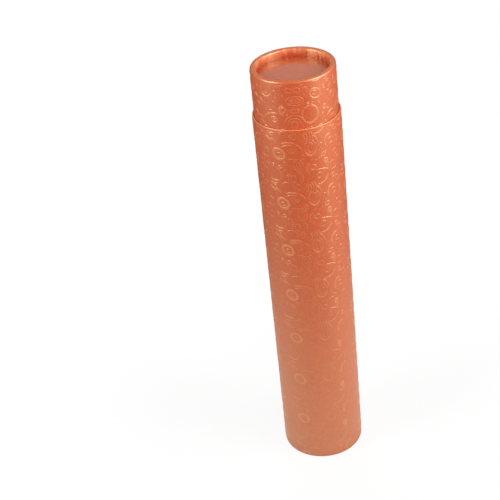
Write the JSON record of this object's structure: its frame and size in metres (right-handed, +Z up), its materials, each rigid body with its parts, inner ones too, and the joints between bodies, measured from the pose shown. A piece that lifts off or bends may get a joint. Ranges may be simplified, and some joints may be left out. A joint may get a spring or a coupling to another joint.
{
  "type": "telescoping document tube",
  "caption": "Two-piece telescoping paper tube for rolled documents, covered in embossed copper paper, with rolled rims and recessed end discs.",
  "frame": {"origin": "centre of the base, on the plane the base rim stands on", "axes": "+Z up along the tube, from the base to the top rim; -Y faces the viewer of the picture, and the paper laps lie near +Y"},
  "size_m": [0.06, 0.06, 0.318],
  "materials": {
    "tube_board": "plain unbleached board",
    "copper_paper": "pearl copper paper with embossed ring ornament",
    "disc_paper": "smooth pearl copper paper on board"
  },
  "bodies": {
    "outer": {"outer_tube": "tube_board", "outer_wrap": "copper_paper", "base_disc": "disc_paper"},
    "inner": {"inner_tube": "tube_board", "inner_wrap": "copper_paper", "end_disc": "disc_paper"}
  },
  "joints": [
    {"name": "tube_slide", "type": "slide", "parent": "outer", "child": "inner", "axis": [0, 0, 1], "range_m": [0, 0.3]}
  ]
}
